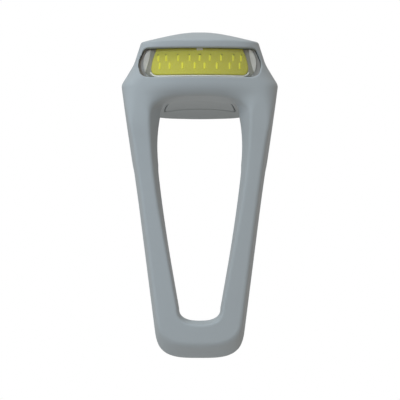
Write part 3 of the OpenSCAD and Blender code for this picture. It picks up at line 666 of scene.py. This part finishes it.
# Flap over the charging socket, with the plug that fills the socket's mouth
PLUG_HALF = (3.25, 0.8, 0.7)
FLAP_INNER_R = SEAT_R + 0.05
FLAP_OUTER_R = SEAT_R + 1.0


def flap(x, y, z):
    shell = np.abs(np.hypot(y, z) - (FLAP_INNER_R + FLAP_OUTER_R) / 2) - (FLAP_OUTER_R - FLAP_INNER_R) / 2
    cover = smax(shell, flap_plan(x, y, 0), 0.18)
    cover = np.maximum(np.maximum(cover, FLAP_LOW[1] - y), POCKET_LOW_Z - z)
    plug = rounded_box(x, y, z, (0, SOCKET_MID[1], FLAP_HIGH[2] - 0.75), PLUG_HALF, 0.5)
    return smin(cover, plug, 0.25)


made("port_cover", flap, FLAP_LOW, FLAP_HIGH, 0.2, "flap", LOOK["silicone"], ["port_flap"])

# Lens: a clear curved shell with rounded ends
LENS_R = 31.0
LENS_T = 1.0
LENS_MID_Y = LENS_LOW[1] + LENS_R
LENS_HALF = LENS_HIGH[0]
LENS_OUTLINE = mirrored(
    [(LENS_HALF - 1.9, LENS_HIGH[2])]
    + corner((LENS_HALF - 1.5, LENS_HIGH[2]), (LENS_HALF - 0.3, LENS_HIGH[2] - 0.6), (LENS_HALF, WIDE_Z + 1))
    + corner((LENS_HALF, WIDE_Z + 0.6), (LENS_HALF - 0.1, LENS_LOW[2] + 0.3), (LENS_HALF - 2, LENS_LOW[2])))


def lens(x, y, z):
    shell = np.abs(np.hypot(x, y - LENS_MID_Y) - LENS_R + LENS_T / 2) - LENS_T / 2
    return smax(smax(shell, outline_distance(x, z, LENS_OUTLINE), 0.5), y, 0.1)


made("lens_shell", lens, LENS_LOW, LENS_HIGH, 0.16, "root", LOOK["clear_lens"], ["lens"])

# Bright crescents behind the lens ends, with a band of painted shade next to the strip: a darker copy of the
# reflector where its inner part turns away from the light
REFLECTOR_IN = STRIP_HIGH[0] - 1.3
REFLECTOR_OUT = box_mm("end_reflectors")[1][0]
CRESCENT_T = 0.35
PAINTED_SHADE_T = 0.22
ENDS_DEPTH = 0.6


def crescent_edge(z):
    down = np.maximum(LENS_HIGH[2] - z, 0)
    return LENS_HALF - 1.9 + 0.12 * down + 0.022 * down ** 2


def reflector(x, y, z, thick):
    bounds = smax(outline_distance(x, z, LENS_OUTLINE), y - BOARD_FRONT, 0.1)
    return smax(bounds, BOARD_FRONT - thick - y, 0.1)


def crescents(x, y, z):
    ax = np.abs(x)
    return smax(reflector(x, y, z, CRESCENT_T + 0.1 * (ax - 12)), crescent_edge(z) - ax, 0.2)


# Band of painted shade: the inner part of the reflector, given a darker copy of its colour
def crescent_painted_shade(x, y, z):
    high = crescent_edge(z) + 0.5
    span = np.abs(np.abs(x) - (REFLECTOR_IN + high) / 2) - (high - REFLECTOR_IN) / 2
    return smax(reflector(x, y, z, PAINTED_SHADE_T), span, 0.1)


ENDS_LOW = (-REFLECTOR_OUT, BOARD_FRONT - ENDS_DEPTH, LENS_LOW[2])
ENDS_HIGH = (REFLECTOR_OUT, BOARD_FRONT, LENS_HIGH[2])
made("crescents", crescents, ENDS_LOW, ENDS_HIGH, 0.11, "root", LOOK["bright_metal"], ["end_reflectors"])
made("crescent_painted_shade", crescent_painted_shade, ENDS_LOW, ENDS_HIGH, 0.11, "root", REFLECTOR_PAINTED_SHADE, ["end_reflectors"])

# Yellow strip with two rows of dies that stand just proud of it
STRIP_HALF = STRIP_HIGH[0]
STRIP_R = LENS_MID_Y - STRIP_LOW[1]
STRIP_TOP = STRIP_HIGH[2] + 0.2
STRIP_OVER = 0.3
STRIP_OUTLINE = mirrored(
    [(STRIP_HALF - 1.0, STRIP_TOP)]
    + corner((STRIP_HALF - 0.8, STRIP_TOP - 0.6), (STRIP_HALF + 0.1, STRIP_TOP - 2.6),
             (STRIP_HALF + STRIP_OVER, STRIP_LOW[2] + 1.6))
    + corner((STRIP_HALF + STRIP_OVER, STRIP_LOW[2] + 1.5), (STRIP_HALF + 0.25, STRIP_LOW[2]),
             (STRIP_HALF - 1.2, STRIP_LOW[2])))
STRIP_MID = (STRIP_LOW[2] + STRIP_HIGH[2]) / 2
DIE_HALF = (0.27, 0.3, 0.78)
DIES_LOW = (STRIP_LOW[0], STRIP_LOW[1] - 0.2, STRIP_LOW[2])
DIES_HIGH = (STRIP_HALF, -16, STRIP_HIGH[2])
# Places to the right of the middle and height of each row; the same places are used on the left
DIE_ROWS = (((0, 2.35, 5.0, 7.8, 9.65), STRIP_MID + 0.95), ((1.15, 4.0, 7.0, 9.35), STRIP_MID - 0.9))


def strip(x, y, z):
    face = np.hypot(x, y - LENS_MID_Y) - STRIP_R
    return smax(smax(face, outline_distance(x, z, STRIP_OUTLINE), 0.35), y - STRIP_HIGH[1], 0.1)


made("phosphor_strip", strip, (-STRIP_HALF - STRIP_OVER, *STRIP_LOW[1:]),
     (STRIP_HALF + STRIP_OVER, STRIP_HIGH[1], STRIP_TOP), 0.16, "root", LOOK["phosphor"], ["led_phosphor"])


# White rim of the strip: a thin lip along its lower edge that turns up at the corners
LIP_PROUD = 0.12
LIP_OUT = 0.28
LIP_HALF = 0.18
LIP_RISE = 0.7


def lip(x, y, z):
    front = np.hypot(x, y - LENS_MID_Y) - STRIP_R - LIP_PROUD
    edge = np.abs(outline_distance(x, z, STRIP_OUTLINE) - LIP_OUT) - LIP_HALF
    return smax(smax(smax(front, edge, 0.1), z - STRIP_LOW[2] - LIP_RISE, 0.2), y - STRIP_HIGH[1], 0.1)


made("strip_lip", lip, (-STRIP_HALF - 0.7, STRIP_LOW[1] - 0.2, STRIP_LOW[2] - 0.4),
     (STRIP_HALF + 0.7, STRIP_HIGH[1], STRIP_LOW[2] + 0.8), 0.11, "root", LOOK["white_plastic"], ["led_dam"])


# Small light at the top centre of the strip
INDICATOR_MID = np.array((0, STRIP_LOW[1] + 0.1, STRIP_TOP - 0.2))
INDICATOR_HALF = np.array((0.72, 0.25, 0.32))


def indicator(x, y, z):
    return rounded_box(x, y, z, INDICATOR_MID, INDICATOR_HALF, 0.15)


made("indicator_light", indicator, INDICATOR_MID - INDICATOR_HALF, INDICATOR_MID + INDICATOR_HALF, 0.09,
     "root", LOOK["white_plastic"], ["indicator_led"])


def along_row(x, y, z, row, shift, half, r):
    """Small boxes on the curved face of the strip, one at each place of a row."""
    places, level = row
    boxes = []
    for place in places:
        front = LENS_MID_Y - math.sqrt(STRIP_R ** 2 - place ** 2)
        centre = (place + shift[0], front + shift[1], level + shift[2])
        boxes.append(rounded_box(np.abs(x), y, z, centre, half, r))
    return functools.reduce(np.minimum, boxes)


def dies(x, y, z):
    upper, lower = (along_row(x, y, z, row, (0, 0.16, 0), DIE_HALF, 0.2) for row in DIE_ROWS)
    return np.minimum(upper, lower)


made("die_rows", dies, DIES_LOW, DIES_HIGH, 0.1, "root", LOOK["die"], ["led_dies"])

# Dark spot at the upper end of each die of the upper row
SPOT_HALF = (0.19, 0.3, 0.15)


def die_spots(x, y, z):
    return along_row(x, y, z, DIE_ROWS[0], (0.12, 0.13, 0.7), SPOT_HALF, 0.12)


made("die_spots", die_spots, (*DIES_LOW[:2], DIE_ROWS[0][1]), DIES_HIGH, 0.08, "root", DIE_SPOT, ["led_dies"])


# Light
def lamp(name, kind, place, aim, power, **settings):
    light = bpy.data.lights.new(name, kind)
    light.energy = power
    for key, value in settings.items():
        setattr(light, key, value)
    obj = bpy.data.objects.new(name, light)
    obj.location = place
    obj.rotation_euler = (Vector(aim) - Vector(place)).to_track_quat("-Z", "Y").to_euler()
    bpy.context.scene.collection.objects.link(obj)
    return obj


# Middle of the light, in metres
CENTRE = (0, -0.008, -0.006)
lamp("key", "AREA", (-0.6, -0.45, 0.62), CENTRE, 3.1, size=0.4)
lamp("top", "AREA", (-0.1, -0.25, 0.8), CENTRE, 1.4, size=0.4, color=(0.85, 1, 1.1))
# Soft edge of a wide beam, which falls off from the left of the light to its right
feather = lamp("feather", "SPOT", (-0.45, -0.95, 0.3), (-0.128, 0.05, 0), 45, spot_size=math.radians(18),
               spot_blend=1, shadow_soft_size=0.15, color=(0.8, 1, 1.2))
feather.visible_glossy = False

# World: white to the camera and to gloss, a soft sky for the light
AMBIENT = 0.66
SKY_LOW = (0.05, 0.04, 0.03, 1)
SKY_HIGH = (1.12, 1, 0.9, 1)
world = bpy.data.worlds.new("studio")
bpy.context.scene.world = world
world.use_nodes = True
nodes, links = world.node_tree.nodes, world.node_tree.links
nodes.clear()
out = nodes.new("ShaderNodeOutputWorld")
seen = nodes.new("ShaderNodeBackground")
ambient = nodes.new("ShaderNodeBackground")
ambient.inputs["Strength"].default_value = AMBIENT
pick = nodes.new("ShaderNodeMixShader")
path = nodes.new("ShaderNodeLightPath")
either = nodes.new("ShaderNodeMath")
either.operation = "MAXIMUM"
any_ray = nodes.new("ShaderNodeMath")
any_ray.operation = "MAXIMUM"
links.new(path.outputs["Is Camera Ray"], either.inputs[0])
links.new(path.outputs["Is Glossy Ray"], either.inputs[1])
links.new(either.outputs["Value"], any_ray.inputs[0])
links.new(path.outputs["Is Transmission Ray"], any_ray.inputs[1])
links.new(any_ray.outputs["Value"], pick.inputs["Fac"])
links.new(ambient.outputs["Background"], pick.inputs[1])
links.new(seen.outputs["Background"], pick.inputs[2])
seen.inputs["Color"].default_value = (1, 1, 1, 1)
from_where = nodes.new("ShaderNodeTexCoord")
height = nodes.new("ShaderNodeSeparateXYZ")
sky = nodes.new("ShaderNodeMapRange")
sky.inputs["From Min"].default_value = -1
tint = nodes.new("ShaderNodeMix")
tint.data_type = "RGBA"
tint.inputs["A"].default_value = SKY_LOW
tint.inputs["B"].default_value = SKY_HIGH
links.new(from_where.outputs["Generated"], height.inputs["Vector"])
links.new(height.outputs["Z"], sky.inputs["Value"])
links.new(sky.outputs["Result"], tint.inputs["Factor"])
links.new(tint.outputs["Result"], ambient.inputs["Color"])
links.new(pick.outputs["Shader"], out.inputs["Surface"])

# Floor far below
FLOOR_Z = -0.25
FLOOR_R = 0.5
bpy.ops.mesh.primitive_circle_add(radius=FLOOR_R, vertices=96, fill_type="NGON", location=(0, 0, FLOOR_Z))
floor = bpy.context.object
floor.name = "floor"
floor.data.materials.append(material("floor", (0.8, 0.8, 0.8), 0.8, spread=0.01))
floor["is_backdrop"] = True

# Camera straight in front; the view is this wide, in metres, where the strap's front lies
VIEW_WIDTH = 0.0929
CAMERA_BACK = 0.43
CAMERA_X = 0.00006
CAMERA_Z = -0.00776
SENSOR = 36
camera = bpy.data.cameras.new("camera")
camera.sensor_width = SENSOR
camera.lens = SENSOR * CAMERA_BACK / VIEW_WIDTH
camera.clip_start = 0.01
camera.clip_end = 10
eye = bpy.data.objects.new("camera", camera)
eye.location = (CAMERA_X, STRAP_FRONT * MM - CAMERA_BACK, CAMERA_Z)
eye.rotation_euler = (math.pi / 2, 0, 0)
bpy.context.scene.collection.objects.link(eye)
bpy.context.scene.camera = eye
bpy.context.scene.view_settings.view_transform = "Standard"

# Sizes of the solids and of the dressed part
low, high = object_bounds()
